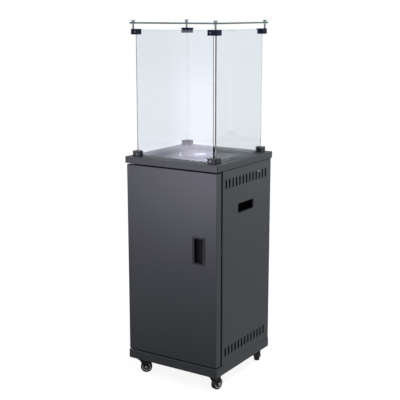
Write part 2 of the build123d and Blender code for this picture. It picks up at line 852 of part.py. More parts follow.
def make_door_shell():
    """Folded door: face, four returns and a lip turned in behind."""
    door = block(-door_half, door_half, door_front, door_back, door_bottom, door_top)
    door = fillet(upright_edges(door), bend_radius)
    door = fillet(door.faces().sort_by(Axis.Y)[0].edges(), bend_radius / 2)
    inside = door_half - panel_sheet
    door -= block(-inside, inside, door_front + panel_sheet, door_back - panel_sheet,
                  door_bottom + panel_sheet, door_top - panel_sheet)
    mouth = door_half - door_lip
    door -= block(-mouth, mouth, door_back - 2 * panel_sheet, door_back + cut_past,
                  door_bottom + door_lip, door_top - door_lip)
    half_x = pull_width / 2 - pull_wall
    half_z = pull_height / 2 - pull_wall
    door -= block(pull_x - half_x, pull_x + half_x, door_front - cut_past, door_front + 2 * panel_sheet,
                  pull_z - half_z, pull_z + half_z)
    for z in (door_bottom, door_top):
        door -= Pos(pin_x, pin_y, z) * Cylinder(pin_radius + bush_wall, 4 * panel_sheet)
    return door


def make_door_stiffener():
    """Top-hat channel welded upright to the inside of the door's face."""
    skin = door_front + panel_sheet
    z0 = door_bottom + stiffener_end_gap
    z1 = door_top - stiffener_end_gap
    half = stiffener_width / 2
    crown = skin + stiffener_depth
    hat = block(-half, half, skin, crown, z0, z1)
    hat -= block(-half + panel_sheet, half - panel_sheet, skin - cut_past, crown - panel_sheet,
                 z0 - cut_past, z1 + cut_past)
    hat += block(-half - stiffener_flange, -half + panel_sheet, skin, skin + panel_sheet, z0, z1)
    hat += block(half - panel_sheet, half + stiffener_flange, skin, skin + panel_sheet, z0, z1)
    return hat


def make_door_pull():
    """Flush pull: a raised bezel round a finger pocket that runs back under its left side."""
    y0 = door_front - pull_proud
    z = pull_z
    plane = Plane(origin=(pull_x, y0, z), x_dir=(1, 0, 0), z_dir=(0, 1, 0))
    bezel = extrude(plane * RectangleRounded(pull_width, pull_height, pull_corner), pull_proud)
    bezel = chamfer(bezel.faces().sort_by(Axis.Y)[0].edges(), pull_proud / 2)
    half_x = pull_width / 2 - pull_wall - pull_fit
    half_z = pull_height / 2 - pull_wall - pull_fit
    tub = block(pull_x - half_x, pull_x + half_x, door_front, door_front + pull_depth,
                z - half_z, z + half_z)
    pocket_x = pull_width / 2 - pull_border_side
    pocket_z = pull_height / 2 - pull_border_end
    pocket = extrude(plane * RectangleRounded(2 * pocket_x, 2 * pocket_z, pull_corner),
                     pull_proud + pull_depth - pull_wall)
    behind = block(pull_x - pocket_x - pull_undercut, pull_x,
                   door_front + pull_wall, door_front + pull_depth - pull_wall,
                   z - pocket_z + pull_corner, z + pocket_z - pull_corner)
    return bezel + tub - pocket - behind


def make_pane(side):
    """Flat glass pane of the enclosure, with ground edges."""
    pane = block(-pane_half, pane_half, -pane_face, -pane_inner_face, pane_bottom, pane_top)
    pane = chamfer(upright_edges(pane), pane_chamfer)
    turn = {"front": 0, "right": 90, "rear": 180, "left": 270}[side]
    return Rot(0, 0, turn) * pane


def make_top_glass():
    """Flat glass plate above the enclosure, on four posts."""
    plate = Pos(0, 0, top_glass_bottom) * extrude(
        RectangleRounded(top_glass_width, top_glass_width, top_glass_corner), glass_thickness)
    holes = []
    for x, y in post_corners():
        holes.append(Pos(x, y, top_glass_bottom) * Cylinder(
            stud_radius + stud_clearance, 4 * glass_thickness))
    return plate - holes


def post_corners():
    """Middles of the four posts."""
    return [(sx * post_from_middle, sy * post_from_middle) for sx, sy in corner_signs()]


def corner_signs():
    """Signs of the four corners, front left first and round the right-hand way."""
    return [(-1, -1), (1, -1), (1, 1), (-1, 1)]


def make_clamp(sx, sy, z0, upper):
    """One corner clamp: an L-shaped block with a slot for each of the two panes."""
    inner = pane_inner_face - glass_slot_clearance - clamp_inner_jaw
    leg_end = clamp_outer - clamp_leg
    body = block(leg_end, clamp_outer, leg_end, clamp_outer, z0, z0 + clamp_height)
    outer_edge = [edge for edge in upright_edges(body)
                  if edge.center().X > inner and edge.center().Y > inner]
    body = fillet(outer_edge, clamp_corner)
    body -= block(leg_end - cut_past, inner, leg_end - cut_past, inner,
                  z0 - cut_past, z0 + clamp_height + cut_past)
    slot_out = pane_face + glass_slot_clearance
    slot_in = pane_inner_face - glass_slot_clearance
    slot_end = pane_half + glass_slot_clearance
    low = z0 - cut_past if upper else z0 + clamp_web
    high = z0 + clamp_height - clamp_web if upper else z0 + clamp_height + cut_past
    body -= block(leg_end - cut_past, slot_end, slot_in, slot_out, low, high)
    body -= block(slot_in, slot_out, leg_end - cut_past, slot_end, low, high)
    screw_x = clamp_outer - clamp_screw_from_corner
    screw_z = z0 + clamp_height / 2
    body -= rod((screw_x, slot_out - cut_past, screw_z), (screw_x, clamp_outer + cut_past, screw_z),
                clamp_screw_radius)
    if upper:
        body -= Pos(post_from_middle, post_from_middle, z0 + clamp_height) * Cylinder(
            post_radius, 2 * post_sink)
    if sx < 0:
        body = mirror(body, Plane.YZ)
    if sy < 0:
        body = mirror(body, Plane.XZ)
    return body


def make_clamps(upper):
    """The four clamps of one level."""
    z0 = upper_clamp_top - clamp_height if upper else lid_top
    return group([make_clamp(sx, sy, z0, upper) for sx, sy in corner_signs()])


def make_clamp_screws():
    """Screws in the clamps' front and rear legs that hold the glass."""
    screws = []
    for z0 in (lid_top, upper_clamp_top - clamp_height):
        z = z0 + clamp_height / 2
        for sx, sy in corner_signs():
            x = sx * (clamp_outer - clamp_screw_from_corner)
            shank = rod((x, sy * (pane_face + clamp_screw_glass_gap), z), (x, sy * clamp_outer, z),
                        clamp_screw_radius)
            head = rod((x, sy * clamp_outer, z),
                       (x, sy * (clamp_outer + clamp_screw_head_height), z), clamp_screw_head)
            screws.append(shank + head)
    return group(screws)


def make_top_posts():
    """Four posts sunk in the upper clamps, each with a thinner stud through the glass."""
    posts = []
    shoulder = top_glass_bottom - washer_thickness
    stud_top = top_glass_top + washer_thickness + post_cap_height - stud_below_cap_top
    for x, y in post_corners():
        post = rod((x, y, upper_clamp_top - post_sink), (x, y, shoulder), post_radius)
        stud = rod((x, y, shoulder), (x, y, stud_top), stud_radius)
        posts.append(post + stud)
    return group(posts)


def make_glass_washers():
    """Silicone washers under and over the top glass at each post."""
    washers = []
    for x, y in post_corners():
        for z in (top_glass_bottom - washer_thickness, top_glass_top):
            ring = Pos(x, y, z) * extrude(Circle(washer_radius), washer_thickness)
            washers.append(ring - Pos(x, y, z) * Cylinder(stud_radius, 4 * washer_thickness))
    return group(washers)


def make_post_caps():
    """Flared cap nuts that hold the top glass down: narrow at the foot, wide at the top."""
    foot = top_glass_top + washer_thickness
    top = foot + post_cap_height
    profile = Polyline(
        (0, foot), (post_cap_foot, foot), (post_cap_radius, top - post_cap_rim),
        (post_cap_radius, top - post_cap_rim / 2), (post_cap_radius - post_cap_edge, top),
        (0, top), (0, foot))
    cap = revolve(Plane.XZ * make_face(profile), Axis.Z)
    cap -= Pos(0, 0, foot - cut_past) * extrude(
        Circle(stud_radius), post_cap_height + cut_past - stud_below_cap_top)
    return group([Pos(x, y, 0) * cap for x, y in post_corners()])


def caster_corners():
    """Swivel axis of each caster."""
    c = caster_place
    return {"front_left": (-c, -c), "front_right": (c, -c),
            "rear_right": (c, c), "rear_left": (-c, c)}


def at_caster(corner, part):
    """Put a part modelled with its swivel axis on Z and its trail along +X in its place."""
    x, y = caster_corners()[corner]
    return Pos(x, y, 0) * Rot(0, 0, trail_angles[corner]) * part


def make_caster_plates():
    """Mounting plate, bearing housing and kingpin of each caster."""
    plate_bottom = caster_height - caster_plate_thickness
    bearing_bottom = plate_bottom - bearing_height
    plate = Pos(0, 0, plate_bottom) * extrude(
        RectangleRounded(caster_plate_width, caster_plate_width, caster_plate_corner),
        caster_plate_thickness)
    for bolt in GridLocations(caster_bolt_pitch, caster_bolt_pitch, 2, 2):
        plate -= Pos(0, 0, plate_bottom) * bolt * Cylinder(
            caster_bolt_radius, 4 * caster_plate_thickness)
    housing = Pos(0, 0, bearing_bottom) * extrude(Circle(bearing_radius), bearing_height)
    housing = chamfer(housing.faces().sort_by(Axis.Z)[0].edges(), bearing_edge)
    kingpin = Pos(0, 0, crown_bottom - swivel_gap) * extrude(
        Circle(kingpin_radius), bearing_bottom - crown_bottom + 2 * swivel_gap)
    head_bottom = crown_bottom - swivel_gap - kingpin_head_height
    head = Pos(0, 0, head_bottom) * extrude(Circle(kingpin_head_radius), kingpin_head_height)
    plate = plate + housing + kingpin + head
    return group([Pos(x, y, 0) * plate for x, y in caster_corners().values()])


def make_caster_fork(corner, braked):
    """Pressed fork with its axle and, on a braked caster, the pedal's pin."""
    reach = pedal_x + pedal_barrel + cheek_end_margin
    crown_end = pedal_x - pedal_barrel - crown_end_gap if braked else reach
    crown = extrude(Circle(crown_radius) + Pos(crown_end / 2, 0) * Rectangle(
        crown_end, 2 * cheek_inner + 2 * cheek_thickness), crown_thickness)
    crown = Pos(0, 0, crown_bottom) * crown
    plane = Plane(origin=(0, cheek_inner, 0), x_dir=(1, 0, 0), z_dir=(0, -1, 0))
    foot = Pos(caster_trail, wheel_radius) * Circle(cheek_foot)
    shoulder_start = -crown_radius / 2
    shoulder = Pos((reach + shoulder_start) / 2, crown_top - crown_thickness / 2) * Rectangle(
        reach - shoulder_start, crown_thickness)
    outline = make_hull(foot.edges() + shoulder.edges())
    cheek = extrude(plane * outline, -cheek_thickness)
    fork = crown + cheek + mirror(cheek, Plane.XZ)
    fork -= Pos(0, 0, crown_bottom) * Cylinder(kingpin_radius + running_clearance,
                                               4 * crown_thickness)
    side = cheek_inner + cheek_thickness
    axle = rod((caster_trail, -side, wheel_radius), (caster_trail, side, wheel_radius),
               axle_radius)
    fork -= axle
    for sign in (-1, 1):
        axle += rod((caster_trail, sign * side, wheel_radius),
                    (caster_trail, sign * (side + axle_head_height), wheel_radius),
                    axle_head_radius)
    pieces = [axle]
    if braked:
        pin = rod((pedal_x, -side, pedal_z),
                  (pedal_x, side, pedal_z), pedal_pin)
        fork -= pin
        pieces.append(pin)
    pieces.insert(0, fork)
    return at_caster(corner, group(pieces))


def make_tyre(corner):
    """Rubber tyre with bevelled shoulders."""
    half = wheel_width / 2
    inner = wheel_radius - tyre_thickness
    profile = Polyline(
        (inner, -half), (wheel_radius - tyre_shoulder, -half),
        (wheel_radius, -half + tyre_shoulder), (wheel_radius, half - tyre_shoulder),
        (wheel_radius - tyre_shoulder, half), (inner, half), (inner, -half))
    tyre = revolve(Plane.XY * make_face(profile), Axis.Y)
    return at_caster(corner, Pos(caster_trail, 0, wheel_radius) * tyre)


def make_rim(corner):
    """Wheel disc with a raised edge and a long hub that runs on the axle."""
    half_disc = disc_width / 2
    half_edge = wheel_width / 2 - rim_edge_recess
    half_hub = cheek_inner - hub_side_clearance
    bore = axle_radius + running_clearance
    outer = wheel_radius - tyre_thickness
    edge = outer - rim_edge_width
    profile = Polyline(
        (bore, -half_hub), (hub_radius - hub_taper, -half_hub), (hub_radius, -half_disc),
        (edge, -half_disc), (edge, -half_edge), (outer, -half_edge), (outer, half_edge),
        (edge, half_edge), (edge, half_disc), (hub_radius, half_disc),
        (hub_radius - hub_taper, half_hub), (bore, half_hub), (bore, -half_hub))
    rim = revolve(Plane.XY * make_face(profile), Axis.Y)
    return at_caster(corner, Pos(caster_trail, 0, wheel_radius) * rim)


def make_brake_pedal(corner):
    """Foot pedal with a brake shoe, on the fork's pin; pressed down it holds the wheel."""
    plane = Plane(origin=(pedal_x, 0, pedal_z),
                  x_dir=(math.cos(math.radians(pedal_slope)), 0,
                         -math.sin(math.radians(pedal_slope))),
                  z_dir=(0, -1, 0))
    half_inner = cheek_inner - hub_side_clearance
    barrel = extrude(plane * Circle(pedal_barrel), half_inner, both=True)
    arm_length = pedal_length - pedal_pad_length
    arm = extrude(plane * (Pos(arm_length / 2, pedal_thickness / 2) * Rectangle(
        arm_length, pedal_thickness)), half_inner, both=True)
    pad = extrude(plane * (Pos(pedal_length - pedal_pad_length / 2, pedal_thickness / 2)
                           * Rectangle(pedal_pad_length, pedal_thickness)),
                  pedal_pad_width / 2, both=True)
    slope = math.radians(pedal_slope)
    from_axle = Vector(pedal_pivot_past_axle, 0, pedal_z - wheel_radius)
    along = -(from_axle.X * math.cos(slope) - from_axle.Z * math.sin(slope))
    above = from_axle.X * math.sin(slope) + from_axle.Z * math.cos(slope)
    shoe_height = above - wheel_radius - brake_shoe_gap
    shoe = extrude(plane * (Pos(along, -shoe_height / 2) * Rectangle(
        brake_shoe_length, shoe_height)), wheel_width / 2, both=True)
    bore = extrude(plane * Circle(pedal_pin + running_clearance), 2 * half_inner, both=True)
    return at_caster(corner, barrel + arm + pad + shoe - bore)


def all_parts():
    """Every piece under the name of its file."""
    parts = {
        "plinth": make_plinth(),
        "cabinet_floor": make_cabinet_floor(),
        "bottle_stand": make_bottle_stand(),
        "side_panel_right": make_side_panel("right"),
        "side_panel_left": make_side_panel("left"),
        "rear_panel": make_rear_panel(),
        "front_rail": make_front_rail(),
        "lid_brackets": make_lid_brackets(),
        "lid": make_lid(),
        "burner_tray": make_burner_tray(),
        "burner_bowl": make_burner_bowl(),
        "burner_ring": make_burner_ring(),
        "burner_cap": make_burner_cap(),
        "burner_injector": make_burner_injector(),
        "supply_pipe": make_supply_pipe(),
        "pilot_burner": make_pilot_burner(),
        "pilot_pipe": make_pilot_pipe(),
        "thermocouple": make_thermocouple(),
        "spark_electrode": make_spark_electrode(),
        "control_panel": make_control_panel(),
        "gas_valve": make_gas_valve(),
        "gas_inlet": make_gas_inlet(),
        "valve_stem": make_valve_stem(),
        "control_knob": make_control_knob(),
        "igniter_body": make_igniter_body(),
        "igniter_button": make_igniter_button(),
        "tilt_switch": make_tilt_switch(),
        "magnetic_catch": make_magnetic_catch(),
        "hinge_brackets": make_hinge_brackets(),
        "hinge_pins": make_hinge_pins(),
        "hinge_bushes": make_hinge_bushes(),
        "door_shell": make_door_shell(),
        "door_stiffener": make_door_stiffener(),
        "door_pull": make_door_pull(),
        "top_glass": make_top_glass(),
        "lower_clamps": make_clamps(upper=False),
        "upper_clamps": make_clamps(upper=True),
        "clamp_screws": make_clamp_screws(),
        "top_posts": make_top_posts(),
        "glass_washers": make_glass_washers(),
        "post_caps": make_post_caps(),
        "caster_plates": make_caster_plates(),
    }
    for side in ("front", "right", "rear", "left"):
        parts["pane_" + side] = make_pane(side)
    for corner in caster_corners():
        braked = corner.startswith("rear")
        parts["fork_" + corner] = make_caster_fork(corner, braked)
        parts["tyre_" + corner] = make_tyre(corner)
        parts["rim_" + corner] = make_rim(corner)
        if braked:
            parts["brake_pedal_" + corner] = make_brake_pedal(corner)
    return parts


os.makedirs("parts", exist_ok=True)
for name, part in all_parts().items():
    export_step(part, "parts/" + name + ".step")
    print(name, len(part.solids()))
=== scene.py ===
import json
import math

import bpy
from mathutils import Matrix, Vector

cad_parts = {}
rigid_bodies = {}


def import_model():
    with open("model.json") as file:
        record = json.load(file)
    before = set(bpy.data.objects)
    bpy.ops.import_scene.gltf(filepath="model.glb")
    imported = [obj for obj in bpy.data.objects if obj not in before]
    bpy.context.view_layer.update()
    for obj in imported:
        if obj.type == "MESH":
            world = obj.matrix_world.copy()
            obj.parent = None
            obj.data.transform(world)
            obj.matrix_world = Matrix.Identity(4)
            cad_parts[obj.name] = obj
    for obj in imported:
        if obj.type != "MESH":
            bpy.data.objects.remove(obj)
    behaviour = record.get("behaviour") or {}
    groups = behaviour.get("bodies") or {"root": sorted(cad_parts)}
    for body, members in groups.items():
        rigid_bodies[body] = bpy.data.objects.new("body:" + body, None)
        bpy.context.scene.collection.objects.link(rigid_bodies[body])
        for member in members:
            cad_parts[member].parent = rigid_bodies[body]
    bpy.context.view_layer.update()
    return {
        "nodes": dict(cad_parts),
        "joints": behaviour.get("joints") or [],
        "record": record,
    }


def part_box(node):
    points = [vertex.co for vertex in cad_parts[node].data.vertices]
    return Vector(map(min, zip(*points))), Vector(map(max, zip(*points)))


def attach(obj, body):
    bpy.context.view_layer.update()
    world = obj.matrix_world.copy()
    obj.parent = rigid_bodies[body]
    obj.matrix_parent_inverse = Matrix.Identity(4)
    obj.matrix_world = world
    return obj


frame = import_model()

# A gas patio heater in a white studio. The frame's pieces get their finishes here, and the
# small fasteners, nuts, hose barbs and printed marks are modelled here. Lengths are in metres.

nodes = frame["nodes"]
joints = {joint["name"]: joint for joint in frame["joints"]}
MM = 0.001

# Camera: the photograph's view, worked out for a frame of 400 by 400. Focal length and frame
# are in pixels, the sensor in mm, and the angles in degrees
focal_pixels = 887.4
frame_pixels = 400
sensor_width = 36.0
camera_azimuth = 32.63
camera_distance = 3.7025
camera_height = 1.5382
camera_tilt = 11.94

# Shaping of the small parts: number of sides, steps of a rounded crown and of a broken edge,
# and the angles in degrees up to which round shapes and flat-sided ones are smoothed
round_sides = 24
nut_sides = 6
bore_sides = 32
mark_sides = 16
crown_steps = 4
edge_steps = 2
smooth_round = 40
smooth_flat = 30
# An edge past this share of the height is at the top, a face whose normal rises more than this
# looks up, and a length below the last is nothing
top_share = 0.99
up_share = 0.99
hair = 0.01 * MM

# Button-head screws
screw_radius = 3.8 * MM
screw_height = 2.2 * MM
screw_crown = 0.75
screw_socket_radius = 1.6 * MM
screw_socket_depth = 1.1 * MM

# Flanged bolts under the casters' plates
bolt_radius = 5.6 * MM
bolt_height = 3.6 * MM
bolt_flange_radius = 6.4 * MM
bolt_flange_height = 1.1 * MM
bolt_edge = 0.5 * MM
bolt_flange_edge = 0.3 * MM
caster_bolt_pitch = 42 * MM
caster_plate_width = 58 * MM
caster_plate_thickness = 2.5 * MM

# Dimpled heads: share of the height that the round crown and the dimple take, and share of the
# radius where the dimple starts
dimpled_crown = 0.7
dimple_depth = 0.3
dimple_inset = 0.35

# Rivets of the lid brackets and caps on the wheels' axles: their size, how far the rivet lies
# below the bracket's top, and how far the cap's seat lies from the wheel's middle
rivet_radius = 3.2 * MM
rivet_height = 0.9 * MM
rivet_below_bracket_top = 68 * MM
axle_cap_radius = 6.4 * MM
axle_cap_height = 3.0 * MM
axle_cap_place = 15.0 * MM

# Places of the screws, in from the edges of what they hold, and the sheets they sit on
rear_screw_margin = 9 * MM
rear_screw_below_lid = 29 * MM
rear_screw_rows = 5
panel_sheet = 1.2 * MM
panel_screw_margin = 9 * MM
switch_screw_margin = 7 * MM
hinge_screw_margin = (7 * MM, 15 * MM)
hinge_leg_sheet = 2 * MM

# Gas pipes start at the valve's back: radius, and whether they run to the right from there;
# then the nuts at their ends
gas_pipes = {"supply_pipe": (4 * MM, True), "pilot_pipe": (2 * MM, False)}
nut_wall = 3.2 * MM
nut_height = 8 * MM
nut_edge = 0.7 * MM
nut_clearance = 0.1 * MM

# Barbs of the hose nozzle: shape, bore, and how far the nozzle's axis and end are from the
# inlet's left side and from the lowest barb
barb_radius = 5.2 * MM
barb_root = 4.4 * MM
barb_bore = 4.1 * MM
barb_edge = 0.3 * MM
barb_height = 4 * MM
barb_pitch = 5.5 * MM
barb_count = 3
nozzle_axis = 6.5 * MM
barb_above_end = 1 * MM

# Printed marks round the knob: the knob's place across and up, and the size, number and angles
# of the marks, in degrees from the right
knob_centre = (-45 * MM, 893 * MM)
mark_radius = 24.5 * MM
mark_length = 4 * MM
mark_width = 0.9 * MM
mark_height = 0.15 * MM
mark_count = 9
mark_start = 90
mark_end = -110

# Wheels: where the bright rolled edge of the disc starts, and the blur of that line
disc_edge_radius = 14.7 * MM
disc_edge_blur = 0.4 * MM

# Panes: how far in from its end a ground edge is seen, and how much float glass bends light
edge_depth = 0.9 * MM
glass_ior = 1.5

# Zones of painted shade in a finish: the distances from an edge at which each starts and is
# full. They are the pocket behind the pull's face, the door's flanges within its ends, the
# panels' band below the lid's skirt, the lid's top below its highest face, and its corner seams
# within its sides
pocket_shade_fade = (2.2 * MM, 2.8 * MM)
flange_shade_fade = (2.4 * MM, 1.2 * MM)
skirt_shadow_fade = (5.0 * MM, 3.5 * MM)
lid_top_shade_fade = (1.6 * MM, 0.4 * MM)
lid_seam_shade_fade = (2.4 * MM, 1.0 * MM)

# Grain of a finish: share by which it lightens and darkens the colour, its finer octaves, and
# the strength of its relief
grain_contrast = 0.08
grain_detail = 3.0
grain_relief = 0.3

# What several finishes share: the cabinet's coat with the spacing and depth of its peel in mm,
# two grains that are drawn out upwards, and settings of the shader
charcoal_colour = "313338"
charcoal_roughness = 0.33
peel = (1.6, 0.02)
brushed = (1, 1, 0.05)
drawn_out = (1, 1, 0.1)
coat = {"IOR": 1.5}
plastic = {"IOR": 1.53}
metal = {"Metallic": 1.0}

# Sockets of a Mix node: its two colours and their result, and its two numbers
colour_a, colour_b, colour_out = 6, 7, 2
number_a, number_b = 2, 3


def linear(hex_colour):
    """An sRGB colour such as 4b4e52 as linear red, green, blue and alpha."""
    channels = []
    for start in (0, 2, 4):
        value = int(hex_colour[start:start + 2], 16) / 255
        low = value / 12.92
        high = ((value + 0.055) / 1.055) ** 2.4
        channels.append(low if value <= 0.04045 else high)
    return (*channels, 1.0)


def shaded(hex_colour, factor):
    """The same colour lighter or darker."""
    return (*(min(channel * factor, 1) for channel in linear(hex_colour)[:3]), 1.0)


def per_mm(size):
    """Texture scale for a pattern whose features are that many millimetres apart."""
    return 1 / (size * MM)


def add_node(tree, kind, settings, links):
    """Add a node, set its properties and sockets, and link its inputs."""
    node = tree.nodes.new(kind)
    for key, value in settings.items():
        if isinstance(key, str) and hasattr(node, key):
            setattr(node, key, value)
        else:
            node.inputs[key].default_value = value
    for key, socket in links.items():
        tree.links.new(socket, node.inputs[key])
    return node


def new_material(name):
    """An empty node material, its node tree and its Object coordinates."""
    material = bpy.data.materials.new(name)
    material.use_nodes = True
    tree = material.node_tree
    tree.nodes.clear()
    place = add_node(tree, "ShaderNodeTexCoord", {}, {}).outputs["Object"]
    return material, tree, place


def finish(name, colour, roughness, grain, depth, settings, stretch=(1, 1, 1), spread=0.1,
           second=None):
    """A surface with a fine grain, so many millimetres apart and so many deep, that varies its
    colour, gloss and relief. settings go on the shader, stretch draws the grain out, spread is
    the share by which the roughness varies, and second is a zone's mask with its colour and
    its roughness."""
    material, tree, place = new_material(name)
    stretched = add_node(tree, "ShaderNodeMapping", {"Scale": stretch}, {"Vector": place})
    noise = add_node(tree, "ShaderNodeTexNoise",
                     {"Scale": per_mm(grain), "Detail": grain_detail},
                     {"Vector": stretched.outputs[0]}).outputs["Fac"]
    tint = add_node(tree, "ShaderNodeMix",
                    {"data_type": "RGBA", colour_a: shaded(colour, 1 - grain_contrast),
                     colour_b: shaded(colour, 1 + grain_contrast)},
                    {0: noise}).outputs[colour_out]
    rough = add_node(tree, "ShaderNodeMapRange",
                     {"To Min": roughness * (1 - spread), "To Max": roughness * (1 + spread)},
                     {"Value": noise}).outputs[0]
    if second:
        mask, second_colour, second_roughness = second
        zone = mask(tree, place)
        tint = add_node(tree, "ShaderNodeMix",
                        {"data_type": "RGBA", colour_b: linear(second_colour)},
                        {0: zone, colour_a: tint}).outputs[colour_out]
        rough = add_node(tree, "ShaderNodeMix", {number_b: second_roughness},
                         {0: zone, number_a: rough}).outputs[0]
    bump = add_node(tree, "ShaderNodeBump",
                    {"Strength": grain_relief, "Distance": depth * MM}, {"Height": noise})
    shader = add_node(tree, "ShaderNodeBsdfPrincipled", settings,
                      {"Base Color": tint, "Roughness": rough, "Normal": bump.outputs[0]})
    add_node(tree, "ShaderNodeOutputMaterial", {}, {"Surface": shader.outputs[0]})
    return material


def fade_along(tree, place, axis, start, end):
    """Share of a zone, from none at one place along an axis to all at another."""
    along = add_node(tree, "ShaderNodeSeparateXYZ", {}, {0: place}).outputs[axis]
    return add_node(tree, "ShaderNodeMapRange", {"From Min": start, "From Max": end},
                    {"Value": along}).outputs[0]


def pocket_shade_zone(tree, place):
    """The pull's pocket, which starts just behind its bezel: black plastic drawn near black as
    painted shade of the recess.
    """
    low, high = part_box("door_pull")
    start, end = pocket_shade_fade
    return fade_along(tree, place, "Y", low[1] + start, low[1] + end)


def flange_shade_zone(tree, place):
    """Painted shade on the door's top and bottom flanges, and the bends that lead to them."""
    low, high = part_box("door_shell")
    start, end = flange_shade_fade
    upper = fade_along(tree, place, "Z", high[2] - start, high[2] - end)
    lower = fade_along(tree, place, "Z", low[2] + start, low[2] + end)
    return add_node(tree, "ShaderNodeMath", {"operation": "MAXIMUM"},
                    {0: upper, 1: lower}).outputs[0]


def skirt_shadow_zone(tree, place):
    """Painted shadow of the lid's skirt: what it covers of the panels, and a little below it."""
    low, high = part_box("lid")
    start, end = skirt_shadow_fade
    return fade_along(tree, place, "Z", low[2] - start, low[2] - end)


def lid_shade_zone(tree, place):
    """Painted shade on the lid's flat top, and in a narrow band at the open seams of its corners.
    """
    low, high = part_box("lid")
    start, end = lid_top_shade_fade
    top = fade_along(tree, place, "Z", high[2] - start, high[2] - end)
    size = add_node(tree, "ShaderNodeVectorMath", {"operation": "ABSOLUTE"},
                    {0: place}).outputs[0]
    axes = add_node(tree, "ShaderNodeSeparateXYZ", {}, {0: size})
    nearest = add_node(tree, "ShaderNodeMath", {"operation": "MINIMUM"},
                       {0: axes.outputs["X"], 1: axes.outputs["Y"]}).outputs[0]
    start, end = lid_seam_shade_fade
    seams = add_node(tree, "ShaderNodeMapRange",
                     {"From Min": high[0] - start, "From Max": high[0] - end},
                     {"Value": nearest}).outputs[0]
    return add_node(tree, "ShaderNodeMath", {"operation": "MAXIMUM"},
                    {0: top, 1: seams}).outputs[0]


def disc_zone(joint):
    """The middle of a wheel's disc, inside its rolled edge."""
    def mask(tree, place):
        arm = add_node(tree, "ShaderNodeVectorMath",
                       {"operation": "SUBTRACT", 1: joint["pos_m"]}, {0: place}).outputs[0]
        lever = add_node(tree, "ShaderNodeVectorMath",
                         {"operation": "CROSS_PRODUCT", 1: joint["axis"]}, {0: arm}).outputs[0]
        radius = add_node(tree, "ShaderNodeVectorMath", {"operation": "LENGTH"},
                          {0: lever}).outputs["Value"]
        return add_node(tree, "ShaderNodeMapRange",
                        {"From Min": disc_edge_radius + disc_edge_blur,
                         "From Max": disc_edge_radius},
                        {"Value": radius}).outputs[0]
    return mask


def float_glass(name, node, face_tint, near_edge_shade, far_edge_shade, level_edge_shade):
    """Toughened float glass: flat clear faces with a faint blue-grey, and ground edges that
    gather the light of the whole sheet. Their green is painted shade: drawn darker the more of
    the dark lid an edge would gather, so the upright edges near the front, the far ones and the
    level ones differ."""
    material, tree, place = new_material(name)
    low, high = (Vector(corner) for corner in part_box(node))
    half = (high - low) / 2
    middle = add_node(tree, "ShaderNodeVectorMath",
                      {"operation": "SUBTRACT", 1: (low + high) / 2}, {0: place}).outputs[0]
    size = add_node(tree, "ShaderNodeVectorMath", {"operation": "ABSOLUTE"},
                    {0: middle}).outputs[0]
    sides = add_node(tree, "ShaderNodeSeparateXYZ", {}, {0: middle})
    sizes = add_node(tree, "ShaderNodeSeparateXYZ", {}, {0: size})
    thin = min(range(3), key=lambda axis: half[axis])
    across, along = [axis for axis in range(3) if axis != thin]
    is_far = add_node(tree, "ShaderNodeMath", {"operation": "GREATER_THAN", 1: 0.0},
                      {0: sides.outputs[across]}).outputs[0]
    is_end = add_node(tree, "ShaderNodeMath",
                      {"operation": "GREATER_THAN", 1: half[across] - edge_depth},
                      {0: sizes.outputs[across]}).outputs[0]
    is_level = add_node(tree, "ShaderNodeMath",
                        {"operation": "GREATER_THAN", 1: half[along] - edge_depth},
                        {0: sizes.outputs[along]}).outputs[0]
    ends = add_node(tree, "ShaderNodeMix",
                    {"data_type": "RGBA", colour_a: linear(near_edge_shade),
                     colour_b: linear(far_edge_shade)}, {0: is_far}).outputs[colour_out]
    upright = add_node(tree, "ShaderNodeMix",
                       {"data_type": "RGBA", colour_a: linear(face_tint)},
                       {0: is_end, colour_b: ends}).outputs[colour_out]
    colour = add_node(tree, "ShaderNodeMix",
                      {"data_type": "RGBA", colour_b: linear(level_edge_shade)},
                      {0: is_level, colour_a: upright}).outputs[colour_out]
    glass = add_node(tree, "ShaderNodeBsdfPrincipled",
                     {"Transmission Weight": 1.0, "IOR": glass_ior, "Roughness": 0.0},
                     {"Base Color": colour})
    clear = add_node(tree, "ShaderNodeBsdfTransparent", {"Color": linear(face_tint)}, {})
    rays = add_node(tree, "ShaderNodeLightPath", {}, {})
    shader = add_node(tree, "ShaderNodeMixShader", {},
                      {0: rays.outputs["Is Shadow Ray"], 1: glass.outputs[0],
                       2: clear.outputs[0]})
    add_node(tree, "ShaderNodeOutputMaterial", {}, {"Surface": shader.outputs[0]})
    return material


